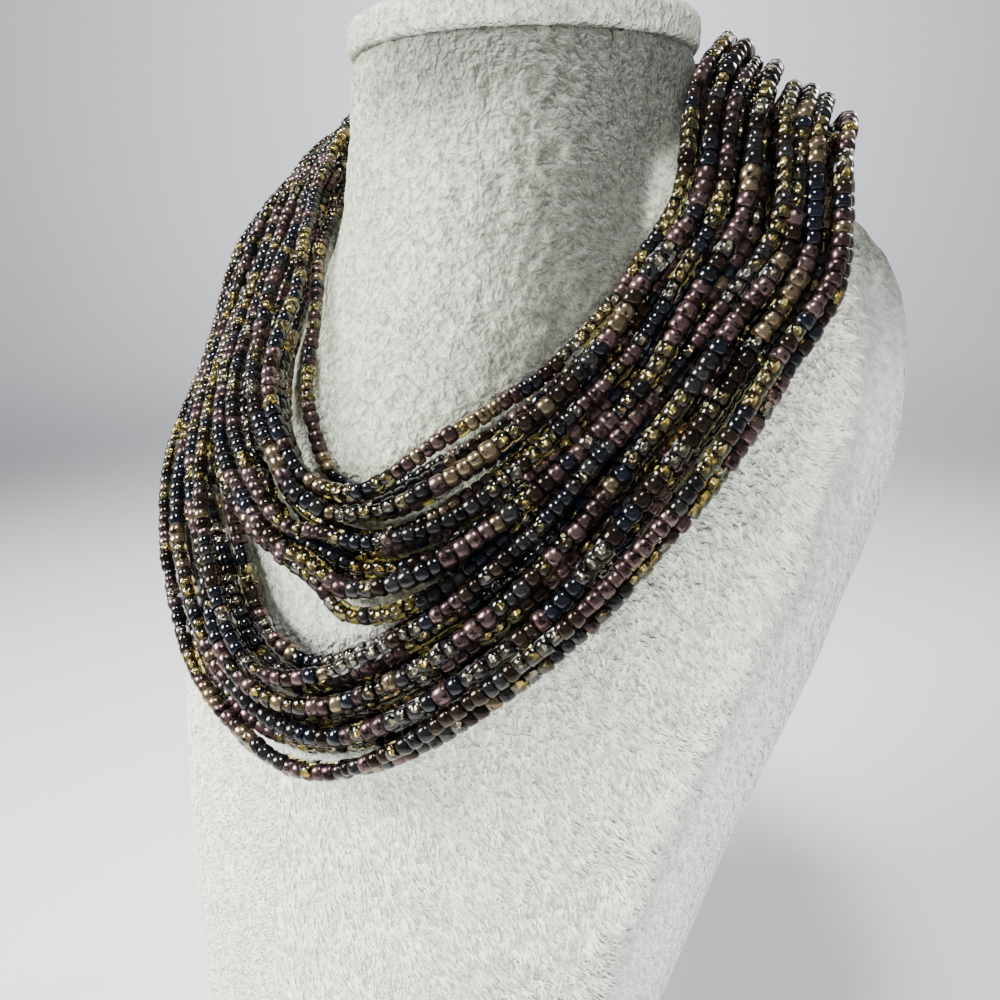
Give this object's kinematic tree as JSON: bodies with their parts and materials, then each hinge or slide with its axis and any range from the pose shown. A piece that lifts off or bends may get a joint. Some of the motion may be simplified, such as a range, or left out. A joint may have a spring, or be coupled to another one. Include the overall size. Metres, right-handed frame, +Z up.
{
  "type": "multi strand necklace on neck bust",
  "caption": "Collar of many strands of small glass beads draped round the neck and chest of a plain velvet display bust with a flat foot.",
  "frame": {"origin": "on the flat foot, straight under the axis of the neck", "axes": "+Z up along the neck; the bust faces -Y; +X is the viewer's right from the front"},
  "size_m": [0.204, 0.1626, 0.285],
  "materials": {
    "velvet": "matt pile",
    "beads": "mixed glossy, metallic and clear beads",
    "clasp_metal": "satin, antiqued"
  },
  "bodies": {
    "root": {"neck_bust": "velvet", "neck_cap": "velvet", "clasp": "clasp_metal", "strand_01": "beads", "strand_02": "beads", "strand_03": "beads", "strand_04": "beads", "strand_05": "beads", "strand_06": "beads", "strand_07": "beads", "strand_08": "beads", "strand_09": "beads", "strand_10": "beads", "strand_11": "beads", "strand_12": "beads", "strand_13": "beads", "strand_14": "beads", "strand_15": "beads", "strand_16": "beads", "strand_17": "beads", "strand_18": "beads", "strand_19": "beads", "strand_20": "beads", "strand_21": "beads", "strand_22": "beads", "strand_23": "beads", "strand_24": "beads"}
  },
  "joints": []
}
